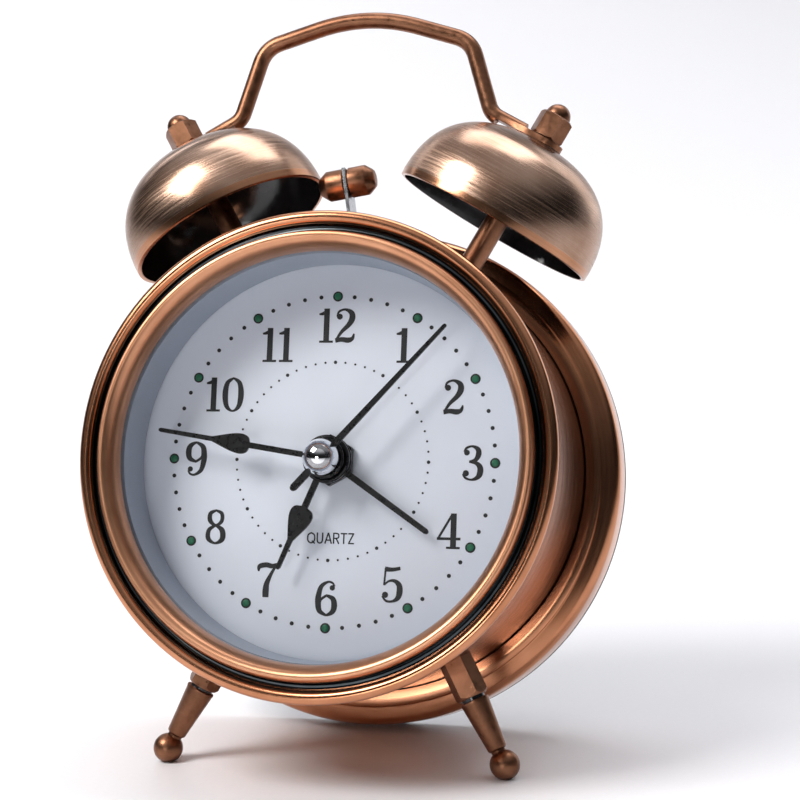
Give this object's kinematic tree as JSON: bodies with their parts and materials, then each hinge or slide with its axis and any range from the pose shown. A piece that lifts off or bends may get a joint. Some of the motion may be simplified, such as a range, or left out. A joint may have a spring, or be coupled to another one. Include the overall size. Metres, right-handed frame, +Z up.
{
  "type": "twin bell alarm clock",
  "caption": "Round twin-bell alarm clock with a folded-wire handle, a swinging hammer, ball feet, a sloping drum case and setting knobs at the back.",
  "frame": {"origin": "centre of the footprint, on the surface that the clock stands on", "axes": "+X to the right as seen from the front, +Y from the dial towards the back, +Z up"},
  "size_m": [0.1154, 0.0892, 0.1652],
  "materials": {
    "case_copper": "polished copper plate",
    "glass": "clear",
    "reflector": "satin",
    "dial": "matte enamel",
    "black_plastic": "fine texture",
    "steel": "bright",
    "bell_copper": "brushed copper plate",
    "aged_copper": "satin aged copper",
    "winding": "enamelled wire",
    "hand_black": "satin black",
    "brass": "turned",
    "chrome": "mirror polished",
    "board": "lacquered",
    "cell": "satin"
  },
  "bodies": {
    "case": {"case_drum": "case_copper", "front_bezel": "case_copper", "front_lens": "glass", "reflector_ring": "reflector", "dial_plate": "dial", "rear_rim": "case_copper", "back_cover": "black_plastic", "back_screw_1": "steel", "back_screw_2": "steel", "back_screw_3": "steel", "bell_left": "bell_copper", "bell_post_left": "aged_copper", "post_nut_left": "aged_copper", "acorn_nut_left": "aged_copper", "bell_right": "bell_copper", "bell_post_right": "aged_copper", "post_nut_right": "aged_copper", "acorn_nut_right": "aged_copper", "handle": "aged_copper", "foot_left": "aged_copper", "foot_nut_left": "aged_copper", "foot_right": "aged_copper", "foot_nut_right": "aged_copper", "hammer_bracket": "steel", "hammer_pivot_pin": "steel", "strike_coil_core": "steel", "strike_coil": "winding", "movement_case_front": "black_plastic", "movement_case_back": "black_plastic", "centre_nut": "hand_black", "step_motor_coil": "winding", "step_motor_stator": "steel", "circuit_board": "board", "battery_holder": "black_plastic", "battery_cell_1": "cell", "battery_cell_2": "cell", "battery_contact_left": "steel", "battery_contact_right": "steel"},
    "hammer": {"hammer_arm": "steel", "hammer_head_left": "aged_copper", "hammer_head_right": "aged_copper", "hammer_magnet": "steel"},
    "alarm_indicator": {"alarm_hand": "hand_black", "alarm_pipe": "brass"},
    "hour_indicator": {"hour_hand": "hand_black", "hour_pipe": "brass"},
    "minute_indicator": {"minute_hand": "hand_black", "cannon_pinion": "brass"},
    "second_indicator": {"second_hand": "hand_black", "centre_cap": "chrome", "second_arbor": "steel"},
    "time_setting": {"minute_wheel": "brass", "time_set_knob": "black_plastic"},
    "alarm_setting": {"alarm_set_arbor": "brass", "alarm_set_knob": "black_plastic"},
    "battery_lid": {"battery_door": "black_plastic"},
    "alarm_slider": {"alarm_switch": "black_plastic"}
  },
  "joints": [
    {"name": "minute_turn", "type": "hinge", "parent": "case", "child": "minute_indicator", "pos_m": [0, -0.01603, 0.06715], "axis": [0, 0.9711, -0.2385], "continuous": true},
    {"name": "hour_turn", "type": "hinge", "parent": "case", "child": "hour_indicator", "pos_m": [0, -0.01603, 0.06715], "axis": [0, 0.9711, -0.2385], "continuous": true},
    {"name": "time_set_turn", "type": "hinge", "parent": "case", "child": "time_setting", "pos_m": [0.00713, -0.01449, 0.07339], "axis": [0, 0.9711, -0.2385], "continuous": true},
    {"name": "alarm_turn", "type": "hinge", "parent": "case", "child": "alarm_indicator", "pos_m": [0, -0.01603, 0.06715], "axis": [0, 0.9711, -0.2385], "continuous": true},
    {"name": "alarm_set_turn", "type": "hinge", "parent": "case", "child": "alarm_setting", "pos_m": [-0.00713, -0.01449, 0.07339], "axis": [0, 0.9711, -0.2385], "continuous": true},
    {"name": "second_turn", "type": "hinge", "parent": "case", "child": "second_indicator", "pos_m": [0, -0.01603, 0.06715], "axis": [0, 0.9711, -0.2385], "continuous": true},
    {"name": "hammer_swing", "type": "hinge", "parent": "case", "child": "hammer", "pos_m": [0, 0.01075, 0.10742], "axis": [0, 0.9711, -0.2385], "range_deg": [-0.4, 19.6]},
    {"name": "switch_slide", "type": "slide", "parent": "case", "child": "alarm_slider", "axis": [1, 0, 0], "range_m": [0, 0.006]},
    {"name": "battery_door_hinge", "type": "hinge", "parent": "case", "child": "battery_lid", "pos_m": [0, 0.0294, 0.05234], "axis": [1, 0, 0], "range_deg": [0, 100]}
  ],
  "couplings": [
    {"joint": "minute_turn", "follows": "time_set_turn", "ratio": -3},
    {"joint": "hour_turn", "follows": "time_set_turn", "ratio": -0.25},
    {"joint": "alarm_turn", "follows": "alarm_set_turn", "ratio": -0.33333}
  ]
}
